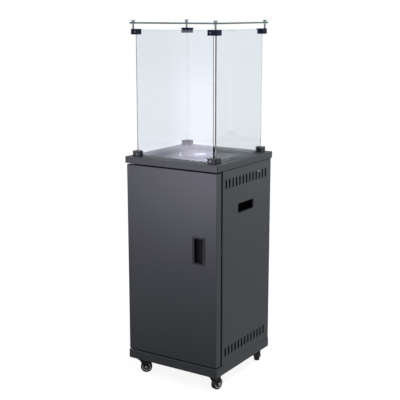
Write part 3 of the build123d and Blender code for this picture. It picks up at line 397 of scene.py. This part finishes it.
def make_materials():
    """The finishes under the record's slot names, and the ink of the dial."""
    return {
        # Polyester powder coat baked on steel sheet: it flows out to a satin skin, so the eye
        # sees a soft sheen that breaks up a little. The peel is drawn coarse enough to show
        "charcoal_powder_coat": finish("charcoal_powder_coat", charcoal_colour,
                                       charcoal_roughness, *peel, coat),
        # The same kind of coat inside the cabinet, drawn duller and nearly black as painted shade
        # of the closed cabinet
        "inner_powder_coat": finish("inner_powder_coat", "1b1c1f", 0.55, *peel,
                                    {**coat, "Specular IOR Level": 0.3}),
        # Heat-proof silicone paint on forks, tray and burner ring: flat, faintly gritty black
        "black_metal": finish("black_heat_paint", "101114", 0.45, 0.9, 0.02,
                              {**coat, "Specular IOR Level": 0.35}),
        # Bright zinc plate on pressed steel: silvery with a faint mottle
        "zinc_plated_steel": finish("zinc_plated_steel", "c3c6c8", 0.3, 6, 0.01, metal,
                                    spread=0.25),
        # Brushed stainless: fine upright lines that stretch the highlights
        "stainless_steel": finish("brushed_stainless_steel", "94989a", 0.3, 0.6, 0.01, metal,
                                  stretch=brushed, spread=0.2),
        # Polished stainless on the cap nuts, the burner's cap and the rivets: near a mirror
        "polished_stainless": finish("polished_stainless_steel", "b9bbbd", 0.14, 1.2, 0.003,
                                     metal),
        # Die-cast valve body and drawn pipes: grey aluminium with a cast grain
        "aluminium": finish("cast_aluminium", "b4b6b8", 0.45, 0.8, 0.03, metal, spread=0.2),
        # Turned brass injector, stem, hose elbow, nuts and barbs: warm, with fine streaks
        "brass": finish("turned_brass", "c8a45c", 0.25, 0.7, 0.01, metal, stretch=drawn_out,
                        spread=0.2),
        # Milky silicone washers under the glass plate: soft and dull
        "silicone": finish("translucent_silicone", "8b9194", 0.5, 2.0, 0.01, {"IOR": 1.41}),
        # Moulded tyre: dull black rubber with a dusty bloom
        "tyre_rubber": finish("black_tyre_rubber", "151517", 0.65, 0.8, 0.05, {"IOR": 1.52}),
        # Moulded nylon knob, pedals, catch and switch bodies: black, with a fine spark texture
        "black_plastic": finish("black_nylon", "141416", 0.45, 0.8, 0.03, plastic),
        # ABS pull: bezel sprayed near the cabinet's colour, pocket in matt black plastic, drawn
        # near black as painted shade of the recess
        "grey_plastic": finish("painted_abs_pull", "26272b", 0.5, 0.9, 0.03,
                               {**plastic, "Specular IOR Level": 0.25},
                               second=(pocket_shade_zone, "07080c", 0.8)),
        # Igniter button: glossy red ABS
        "red_plastic": finish("glossy_red_abs", "a01818", 0.2, 1.2, 0.01, plastic),
        # Hinge bushes: natural nylon, ivory white and waxy
        "white_nylon": finish("natural_white_nylon", "dcdcd6", 0.4, 1.0, 0.02, plastic),
        # Spark insulator: glazed steatite, cream and glossy
        "ceramic": finish("glazed_steatite", "e6e1d6", 0.18, 2.0, 0.005, {"IOR": 1.6}),
        # Pad-printed dial marks: flat white ink
        "dial_ink": finish("white_pad_print", "d8d8d8", 0.6, 0.5, 0.005, coat),
    }


def make_own_finishes():
    """Finishes of single nodes that differ from the others of their slot."""
    # Side and rear panels: the cabinet's coat, drawn dark and dull as a painted shadow where the
    # lid's skirt covers it and a little below, which gives the dark line under the skirt
    panels = finish("charcoal_powder_coat_panels", charcoal_colour, charcoal_roughness, *peel,
                    coat, second=(skirt_shadow_zone, "141518", 0.8))
    own = {
        "side_panel_right": panels,
        "side_panel_left": panels,
        "rear_panel": panels,
        # Door: the cabinet's coat, drawn near black on the flanges as painted shade, which gives
        # dark gaps above and below the door
        "door_shell": finish("charcoal_powder_coat_door", charcoal_colour, charcoal_roughness,
                             *peel, coat, second=(flange_shade_zone, "08080a", 0.8)),
        # Lid: a slightly duller coat, drawn darker on the flat top as painted shade, and along the
        # open seams, where painted shade shows as thin dark lines
        "lid": finish("charcoal_powder_coat_lid", charcoal_colour, 0.36, *peel,
                      {**coat, "Specular IOR Level": 0.4},
                      second=(lid_shade_zone, "202226", 0.55)),
        # Clamps: dull black e-coat on cast zinc, near black in any light. The upper ones are a
        # little bluer
        "lower_clamps": finish("black_e_coat", "1c1d20", 0.4, 1.2, 0.01,
                               {**coat, "Specular IOR Level": 0.35}),
        "upper_clamps": finish("blue_black_e_coat", "1b1a2c", 0.5, 1.2, 0.01,
                               {**coat, "Specular IOR Level": 0.06}),
        # Clamp screws: black oxide on steel, with a small hard highlight on each crown
        "clamp_screws": finish("black_oxide_steel", "4c4c50", 0.25, 1.0, 0.005, metal),
        # Posts: brushed stainless, a tone darker where the stock is cold drawn
        "top_posts": finish("cold_drawn_stainless_steel", "75797b", 0.3, 0.6, 0.01, metal,
                            stretch=brushed),
    }
    for name, joint in joints.items():
        if name.startswith("wheel_spin_"):
            corner = name.removeprefix("wheel_spin_")
            # Pressed wheel disc: bright rolled edge round a middle that is painted dark
            own["rim_" + corner] = finish("pressed_wheel_disc_" + corner, "f2f3f4", 0.35, 1.5,
                                          0.01, {"Metallic": 0.6},
                                          second=(disc_zone(joint), "3a3b3d", 0.45))
    return own


# Tints of each sheet of glass: its faces, and the painted shade of its front or left edge, its
# rear or right edge, and its level edges
glass_tints_and_edge_shade = {
    "pane_front": ("e0e6eb", "eef3f4", "eef3f4", "8f9a9c"),
    "pane_right": ("e2e9ed", "33474a", "dde6e4", "6f8080"),
    "pane_rear": ("fbfcfd", "f2f6f6", "f2f6f6", "eef2f2"),
    "pane_left": ("fbfcfd", "c8d2d3", "f6f9f9", "eef2f2"),
    "top_glass": ("e2eff0", "3c525a", "3c525a", "3c525a"),
}


def dress_nodes(materials):
    """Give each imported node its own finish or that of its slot, and each sheet its glass."""
    slots = {entry["node"]: entry["material_slot"] for entry in frame["record"]["subparts"]}
    own = make_own_finishes()
    for name, obj in nodes.items():
        if name in glass_tints_and_edge_shade:
            surface = float_glass("float_glass_" + name, name, *glass_tints_and_edge_shade[name])
        else:
            surface = own.get(name, materials.get(slots[name]))
        obj.data.materials.clear()
        obj.data.materials.append(surface)


def start_cylinder(name, vertices, radius, bottom, height):
    """Add an upright cylinder, apply its place and open it for editing."""
    bpy.ops.object.select_all(action="DESELECT")
    bpy.ops.mesh.primitive_cylinder_add(vertices=vertices, radius=radius, depth=height,
                                        location=(0, 0, bottom + height / 2))
    piece = bpy.context.object
    piece.name = name
    bpy.ops.object.transform_apply(location=True)
    bpy.ops.object.mode_set(mode="EDIT")
    return piece


def pick(piece, kind, wanted):
    """In edit mode, select only the faces or edges whose middle and direction are wanted."""
    bpy.ops.mesh.select_mode(type=kind)
    bpy.ops.mesh.select_all(action="DESELECT")
    bpy.ops.object.mode_set(mode="OBJECT")
    mesh = piece.data
    if kind == "FACE":
        for face in mesh.polygons:
            face.select = wanted(face.center, face.normal)
    else:
        for edge in mesh.edges:
            start, end = (mesh.vertices[index].co for index in edge.vertices)
            edge.select = wanted((start + end) / 2, end - start)
    bpy.ops.object.mode_set(mode="EDIT")


def close_piece(angle):
    """Turn the faces outwards, leave edit mode and smooth the gentle edges."""
    bpy.ops.mesh.select_all(action="SELECT")
    bpy.ops.mesh.normals_make_consistent(inside=False)
    bpy.ops.object.mode_set(mode="OBJECT")
    bpy.ops.object.shade_smooth_by_angle(angle=math.radians(angle))


def cut(piece, cutter):
    """Cut one piece out of another and throw the cutter away."""
    bpy.ops.object.mode_set(mode="OBJECT")
    bpy.ops.object.select_all(action="DESELECT")
    piece.select_set(True)
    bpy.context.view_layer.objects.active = piece
    difference = piece.modifiers.new("cut", "BOOLEAN")
    difference.operation = "DIFFERENCE"
    difference.solver = "EXACT"
    difference.object = cutter
    bpy.ops.object.modifier_apply(modifier="cut")
    bpy.data.objects.remove(cutter)


def model_button_screw():
    """Button-head screw: a domed head with a six-sided socket, its seat at the origin."""
    head = start_cylinder("screw_model", round_sides, screw_radius, 0, screw_height)
    pick(head, "EDGE", lambda middle, way: middle.z > screw_height * top_share)
    bpy.ops.mesh.bevel(offset=screw_height * screw_crown, segments=crown_steps, affect="EDGES")
    close_piece(smooth_round)
    socket = start_cylinder("socket", nut_sides, screw_socket_radius,
                            screw_height - screw_socket_depth, 2 * screw_socket_depth)
    cut(head, socket)
    return head


def model_flange_bolt():
    """Six-sided bolt head on a round flange, its seat at the origin."""
    bolt = start_cylinder("bolt_model", nut_sides, bolt_radius, bolt_flange_height,
                          bolt_height - bolt_flange_height)
    pick(bolt, "EDGE", lambda middle, way: middle.z > bolt_height * top_share)
    bpy.ops.mesh.bevel(offset=bolt_edge, segments=edge_steps, affect="EDGES")
    bpy.ops.mesh.select_all(action="DESELECT")
    bpy.ops.mesh.primitive_cylinder_add(vertices=round_sides, radius=bolt_flange_radius,
                                        depth=bolt_flange_height,
                                        location=(0, 0, bolt_flange_height / 2))
    bpy.ops.mesh.bevel(offset=bolt_flange_edge, segments=1, affect="EDGES")
    close_piece(smooth_flat)
    return bolt


def model_dimpled_head(name, radius, height):
    """Low round head with a shallow dimple in its crown, its seat at the origin."""
    head = start_cylinder(name, round_sides, radius, 0, height)
    pick(head, "EDGE", lambda middle, way: middle.z > height * top_share)
    bpy.ops.mesh.bevel(offset=height * dimpled_crown, segments=crown_steps, affect="EDGES")
    pick(head, "FACE", lambda middle, normal: normal.z > up_share)
    bpy.ops.mesh.inset(thickness=radius * dimple_inset)
    down = (0, 0, -height * dimple_depth)
    bpy.ops.mesh.extrude_region_move(TRANSFORM_OT_translate={"value": down})
    close_piece(smooth_round)
    return head


def model_pipe_nut(radius):
    """Six-sided nut with the pipe's hole through it, its seat at the origin."""
    nut = start_cylinder("nut_model", nut_sides, radius + nut_wall, 0, nut_height)
    pick(nut, "EDGE", lambda middle, way: abs(way.z) < hair)
    bpy.ops.mesh.bevel(offset=nut_edge, segments=edge_steps, affect="EDGES")
    close_piece(smooth_flat)
    hole = start_cylinder("hole", bore_sides, radius + nut_clearance, -nut_height,
                          3 * nut_height)
    cut(nut, hole)
    return nut


def model_hose_barb():
    """One tapered ring that grips a hose, wide at its seat, bored so that it fits the nozzle."""
    barb = start_cylinder("barb_model", bore_sides, barb_radius, 0, barb_height)
    pick(barb, "FACE", lambda middle, normal: normal.z > up_share)
    bpy.ops.transform.resize(value=(barb_root / barb_radius, barb_root / barb_radius, 1))
    pick(barb, "EDGE", lambda middle, way: middle.z < hair)
    bpy.ops.mesh.bevel(offset=barb_edge, segments=edge_steps, affect="EDGES")
    close_piece(smooth_flat)
    hole = start_cylinder("hole", bore_sides, barb_bore, -barb_height, 3 * barb_height)
    cut(barb, hole)
    return barb


def model_dial_mark():
    """A short printed line with round ends, along Y, its seat at the origin."""
    mark = start_cylinder("mark_model", mark_sides, mark_width / 2, 0, mark_height)
    bpy.ops.mesh.select_all(action="DESELECT")
    bpy.ops.object.mode_set(mode="OBJECT")
    for vertex in mark.data.vertices:
        vertex.select = vertex.co.y > hair
    bpy.ops.object.mode_set(mode="EDIT")
    bpy.ops.mesh.select_mode(type="VERT")
    bpy.ops.transform.translate(value=(0, mark_length - mark_width, 0))
    close_piece(smooth_flat)
    return mark


def copy_to(model, name, places, material):
    """Copy a model to each place and body, turned so that its +Z and +Y point as given."""
    for number, (place, aim, side, body) in enumerate(places, 1):
        piece = model.copy()
        piece.data = model.data.copy()
        piece.name = f"{name}_{number}"
        up = Vector(aim).normalized()
        ahead = Vector(side)
        ahead = (ahead - up * ahead.dot(up)).normalized()
        turn = Matrix((ahead.cross(up), ahead, up)).transposed().to_4x4()
        piece.data.transform(Matrix.Translation(Vector(place)) @ turn)
        bpy.context.scene.collection.objects.link(piece)
        piece.data.materials.clear()
        piece.data.materials.append(material)
        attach(piece, body)
    bpy.data.objects.remove(model)


def rear_screw_places():
    """Screws up both sides of the rear panel, and in the middle of its ends."""
    low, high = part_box("rear_panel")
    left, right = low[0] + rear_screw_margin, high[0] - rear_screw_margin
    bottom, top = low[2] + rear_screw_margin, high[2] - rear_screw_below_lid
    step = (top - bottom) / (rear_screw_rows - 1)
    spots = [((left + right) / 2, bottom), ((left + right) / 2, top)]
    for row in range(rear_screw_rows):
        spots += [(left, bottom + row * step), (right, bottom + row * step)]
    return [((x, high[1], z), (0, 1, 0), (0, 0, 1), "cabinet") for x, z in spots]


def inner_screw_places():
    """Screws that hold the control panel, the tilt switch and the hinge brackets."""
    front, up = (0, -1, 0), (0, 0, 1)
    places = []
    low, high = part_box("control_panel")
    for x in (low[0] + panel_screw_margin, high[0] - panel_screw_margin):
        for z in (low[2] + panel_screw_margin, high[2] - panel_screw_margin):
            places.append(((x, high[1] - panel_sheet, z), front, up, "cabinet"))
    low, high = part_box("tilt_switch")
    for y in (low[1] + switch_screw_margin, high[1] - switch_screw_margin):
        places.append(((high[0], y, (low[2] + high[2]) / 2), (1, 0, 0), up, "cabinet"))
    low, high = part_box("hinge_brackets")
    across, along = hinge_screw_margin
    for z in (low[2] + along, high[2] - along):
        for x in (low[0] + across, high[0] - across):
            places.append(((x, high[1] - hinge_leg_sheet, z), front, up, "cabinet"))
    return places


def caster_bolt_places():
    """Four bolt heads under each caster's plate."""
    low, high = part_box("caster_plates")
    bottom = high[2] - caster_plate_thickness
    middle = high[0] - caster_plate_width / 2
    reach = caster_bolt_pitch / 2
    places = []
    for x in (-middle - reach, -middle + reach, middle - reach, middle + reach):
        for y in (-middle - reach, -middle + reach, middle - reach, middle + reach):
            places.append(((x, y, bottom), (0, 0, -1), (0, 1, 0), "cabinet"))
    return places


def axle_cap_places():
    """A cap over each end of each wheel's axle; it rides on the fork."""
    places = []
    for name, joint in joints.items():
        if name.startswith("wheel_spin_"):
            middle, axis = Vector(joint["pos_m"]), Vector(joint["axis"]).normalized()
            for way in (-axis, axis):
                places.append((middle + way * axle_cap_place, way, (0, 0, 1), joint["parent"]))
    return places


def bracket_rivet_places():
    """A rivet in each lid bracket, which shows through the vent slot in front of it."""
    low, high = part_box("lid_brackets")
    y, z = (low[1] + high[1]) / 2, high[2] - rivet_below_bracket_top
    return [((low[0], y, z), (-1, 0, 0), (0, 0, 1), "cabinet"),
            ((high[0], y, z), (1, 0, 0), (0, 0, 1), "cabinet")]


def pipe_nut_places(node, radius, runs_right):
    """A nut at each end of a pipe: at the valve's back, and under the burner's part."""
    low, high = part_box(node)
    start_x, end_x = low[0] + radius, high[0] - radius
    if not runs_right:
        start_x, end_x = end_x, start_x
    start = (start_x, low[1], low[2] + radius)
    end = (end_x, high[1] - radius, high[2])
    return [(start, (0, 1, 0), (0, 0, 1), "cabinet"), (end, (0, 0, -1), (0, 1, 0), "cabinet")]


def barb_places():
    """Barbs down the hose nozzle, each with its wide end up."""
    low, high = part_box("gas_inlet")
    x, y = low[0] + nozzle_axis, (low[1] + high[1]) / 2
    seat = low[2] + barb_above_end + barb_height
    return [((x, y, seat + step * barb_pitch), (0, 0, -1), (0, 1, 0), "cabinet")
            for step in range(barb_count)]


def dial_mark_places():
    """Marks round the knob, clockwise from its shut place at the top."""
    low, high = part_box("control_panel")
    face = high[1] - panel_sheet
    x, z = knob_centre
    places = []
    for number in range(mark_count):
        turn = math.radians(mark_start + (mark_end - mark_start) * number / (mark_count - 1))
        way = (math.cos(turn), 0, math.sin(turn))
        spot = (x + way[0] * mark_radius, face, z + way[2] * mark_radius)
        places.append((spot, (0, -1, 0), way, "cabinet"))
    return places


def make_small_parts(materials):
    """All the small parts: each is modelled once and copied."""
    zinc, brass, steel = "zinc_plated_steel", "brass", "polished_stainless"
    copy_to(model_button_screw(), "rear_screw", rear_screw_places(), materials[zinc])
    copy_to(model_button_screw(), "inner_screw", inner_screw_places(), materials[zinc])
    copy_to(model_flange_bolt(), "caster_bolt", caster_bolt_places(), materials[zinc])
    cap = model_dimpled_head("axle_cap_model", axle_cap_radius, axle_cap_height)
    copy_to(cap, "axle_cap", axle_cap_places(), materials[zinc])
    rivet = model_dimpled_head("rivet_model", rivet_radius, rivet_height)
    copy_to(rivet, "bracket_rivet", bracket_rivet_places(), materials[steel])
    for node, (radius, runs_right) in gas_pipes.items():
        copy_to(model_pipe_nut(radius), node + "_nut", pipe_nut_places(node, radius, runs_right),
                materials[brass])
    copy_to(model_hose_barb(), "hose_barb", barb_places(), materials[brass])
    copy_to(model_dial_mark(), "dial_mark", dial_mark_places(),
            materials["dial_ink"])


# Studio floor: half its width, and the share of the lamps' light that it gives back. Its glow
# changes between a near and a far distance, which stand before the brightness at each: as it
# is seen, as it is mirrored, and the share of the mirrored one that is left near the door's
# foot, a patch of painted shade that only reflections see and that darkens the door's foot
floor_half = 14.0
floor_colour = 0.18
heater_place = (0, 0, 0)
floor_seen = (0.35, 1.2, 0.905, 0.946)
floor_mirrored = (1.0, 12.0, 0.27, 1.0)
reflection_shade_place = (-0.2, -0.35, 0)
reflection_shade_mirrored = (0.15, 0.8, 0.1, 1.0)

# Share of white that the world gives as light, where it is neither seen nor mirrored
room_light = 0.30

# Softbox in front of the heater, which only reflections see: two corners of its cloth; fades
# across it, each from none at one place along an axis to all at another; and its parts, each
# a brightness and the fades that bound it
softbox_low = (-3.2, -3.1, 0.08)
softbox_high = (-0.6, -3.1, 1.6)
softbox_colour = "ebe6ff"
softbox_fades = {
    "streak": ("X", -2.10, -1.75),
    "end": ("X", -0.60, -1.30),
    "upper": ("Z", 1.30, 0.90),
    "lower": ("Z", 0.56, 0.47),
    "band": ("Z", 0.28, 0.38),
}
softbox_parts = (
    (0.8, ("upper",)),
    (1.3, ("streak", "end")),
    (2.0, ("streak", "end", "upper")),
    (5.0, ("streak", "end", "lower")),
    (2.3, ("band", "lower")),
)


def ray_strength(tree, seen, mirrored, lighting):
    """Strength that a ray meets: seen directly or through glass, mirrored, or lighting."""
    rays = add_node(tree, "ShaderNodeLightPath", {}, {})
    straight = add_node(tree, "ShaderNodeMath", {"operation": "MAXIMUM"},
                        {0: rays.outputs["Is Camera Ray"], 1: rays.outputs["Is Transmission Ray"]})
    # A ray that glass bends also counts as glossy, so it is taken off the mirrored ones
    reflected = add_node(tree, "ShaderNodeMath", {"operation": "SUBTRACT", "use_clamp": True},
                         {0: rays.outputs["Is Glossy Ray"],
                          1: rays.outputs["Is Transmission Ray"]})
    total = None
    for level, share in ((seen, straight), (mirrored, reflected)):
        settings = {"operation": "MULTIPLY_ADD", 2: lighting}
        links = {0: share.outputs[0]}
        if isinstance(level, float):
            settings[1] = level
        else:
            links[1] = level
        if total:
            links[2] = total
        total = add_node(tree, "ShaderNodeMath", settings, links).outputs[0]
    return total


def make_floor():
    """Plain white floor, a little less bright near the heater so that its shadow shows."""
    bpy.ops.object.select_all(action="DESELECT")
    bpy.ops.mesh.primitive_plane_add(size=2 * floor_half)
    floor = bpy.context.object
    floor.name = "studio_floor"
    material, tree, place = new_material("white_floor")
    levels = []
    for centre, (near, far, near_level, far_level) in (
            (heater_place, floor_seen), (heater_place, floor_mirrored),
            (reflection_shade_place, reflection_shade_mirrored)):
        distance = add_node(tree, "ShaderNodeVectorMath", {"operation": "DISTANCE", 1: centre},
                            {0: place}).outputs["Value"]
        levels.append(add_node(tree, "ShaderNodeMapRange",
                               {"interpolation_type": "SMOOTHSTEP", "From Min": near,
                                "From Max": far, "To Min": near_level, "To Max": far_level},
                               {"Value": distance}).outputs[0])
    seen, mirrored_floor, mirrored_shade_patch = levels
    mirrored = add_node(tree, "ShaderNodeMath", {"operation": "MULTIPLY"},
                        {0: mirrored_floor, 1: mirrored_shade_patch}).outputs[0]
    glow = add_node(tree, "ShaderNodeEmission", {"Color": (1, 1, 1, 1)},
                    {"Strength": ray_strength(tree, seen, mirrored, 0.0)})
    diffuse = add_node(tree, "ShaderNodeBsdfDiffuse", {"Color": (*[floor_colour] * 3, 1)}, {})
    both = add_node(tree, "ShaderNodeAddShader", {}, {0: diffuse.outputs[0],
                                                      1: glow.outputs[0]})
    add_node(tree, "ShaderNodeOutputMaterial", {}, {"Surface": both.outputs[0]})
    material.cycles.emission_sampling = "NONE"
    floor.data.materials.append(material)


def make_world():
    """White where it is seen directly, mirrored or through glass, and a softer light elsewhere."""
    world = bpy.data.worlds.new("white_studio")
    bpy.context.scene.world = world
    world.use_nodes = True
    tree = world.node_tree
    tree.nodes.clear()
    strength = ray_strength(tree, 1 - room_light, 1 - room_light, room_light)
    background = add_node(tree, "ShaderNodeBackground", {"Color": (1, 1, 1, 1)},
                          {"Strength": strength})
    add_node(tree, "ShaderNodeOutputWorld", {}, {"Surface": background.outputs[0]})


def make_softbox():
    """Large soft light in front of the heater; only reflections see it, with faded edges."""
    low, high = Vector(softbox_low), Vector(softbox_high)
    bpy.ops.object.select_all(action="DESELECT")
    bpy.ops.mesh.primitive_plane_add(size=1, location=(low + high) / 2,
                                     rotation=(math.radians(90), 0, 0))
    card = bpy.context.object
    card.name = "softbox_card"
    card.scale = (high.x - low.x, high.z - low.z, 1)
    bpy.ops.object.transform_apply(location=True, rotation=True, scale=True)
    material, tree, place = new_material("softbox_cloth")
    axes = add_node(tree, "ShaderNodeSeparateXYZ", {}, {0: place})
    fades = {}
    for name, (axis, start, end) in softbox_fades.items():
        fades[name] = add_node(tree, "ShaderNodeMapRange",
                               {"interpolation_type": "SMOOTHSTEP", "From Min": start,
                                "From Max": end}, {"Value": axes.outputs[axis]}).outputs[0]
    total = None
    for level, names in softbox_parts:
        part = fades[names[0]]
        for name in names[1:]:
            part = add_node(tree, "ShaderNodeMath", {"operation": "MULTIPLY"},
                            {0: part, 1: fades[name]}).outputs[0]
        links = {0: part, 2: total} if total else {0: part}
        total = add_node(tree, "ShaderNodeMath", {"operation": "MULTIPLY_ADD", 1: level, 2: 0.0},
                         links).outputs[0]
    glow = add_node(tree, "ShaderNodeEmission", {"Color": linear(softbox_colour)},
                    {"Strength": ray_strength(tree, 0.0, total, 0.0)})
    clear = add_node(tree, "ShaderNodeBsdfTransparent", {}, {})
    both = add_node(tree, "ShaderNodeAddShader", {}, {0: glow.outputs[0], 1: clear.outputs[0]})
    add_node(tree, "ShaderNodeOutputMaterial", {}, {"Surface": both.outputs[0]})
    material.cycles.emission_sampling = "NONE"
    card.data.materials.append(material)


# Lamps: place, the point they are aimed at, width, height, power in watts and colour
lamps = {
    "key": ((-1.1, -2.2, 2.7), (0, 0, 0.9), 1.2, 1.2, 40, "ffffff"),
    "side": ((1.9, -0.3, 3.0), (0.2, 0, 0.0), 1.0, 1.0, 92, "f2fbff"),
}


def make_lamps():
    """Rectangular soft lamps, each aimed at its point."""
    for name, (place, target, width, height, power, colour) in lamps.items():
        data = bpy.data.lights.new(name, "AREA")
        data.shape = "RECTANGLE"
        data.size = width
        data.size_y = height
        data.energy = power
        data.color = linear(colour)[:3]
        lamp = bpy.data.objects.new(name, data)
        bpy.context.scene.collection.objects.link(lamp)
        lamp.location = place
        aim = Vector(target) - Vector(place)
        lamp.rotation_euler = aim.to_track_quat("-Z", "Y").to_euler()


def make_camera():
    """The photograph's view: no shift and no depth of field."""
    data = bpy.data.cameras.new("camera")
    data.sensor_width = sensor_width
    data.lens = focal_pixels / frame_pixels * sensor_width
    camera = bpy.data.objects.new("camera", data)
    bpy.context.scene.collection.objects.link(camera)
    azimuth = math.radians(camera_azimuth)
    camera.location = (camera_distance * math.sin(azimuth), -camera_distance * math.cos(azimuth),
                       camera_height)
    camera.rotation_euler = (math.radians(90 - camera_tilt), 0, azimuth)
    bpy.context.scene.camera = camera


materials = make_materials()
dress_nodes(materials)
make_small_parts(materials)
make_floor()
make_world()
make_softbox()
make_lamps()
make_camera()
bpy.context.scene.view_settings.view_transform = "Standard"
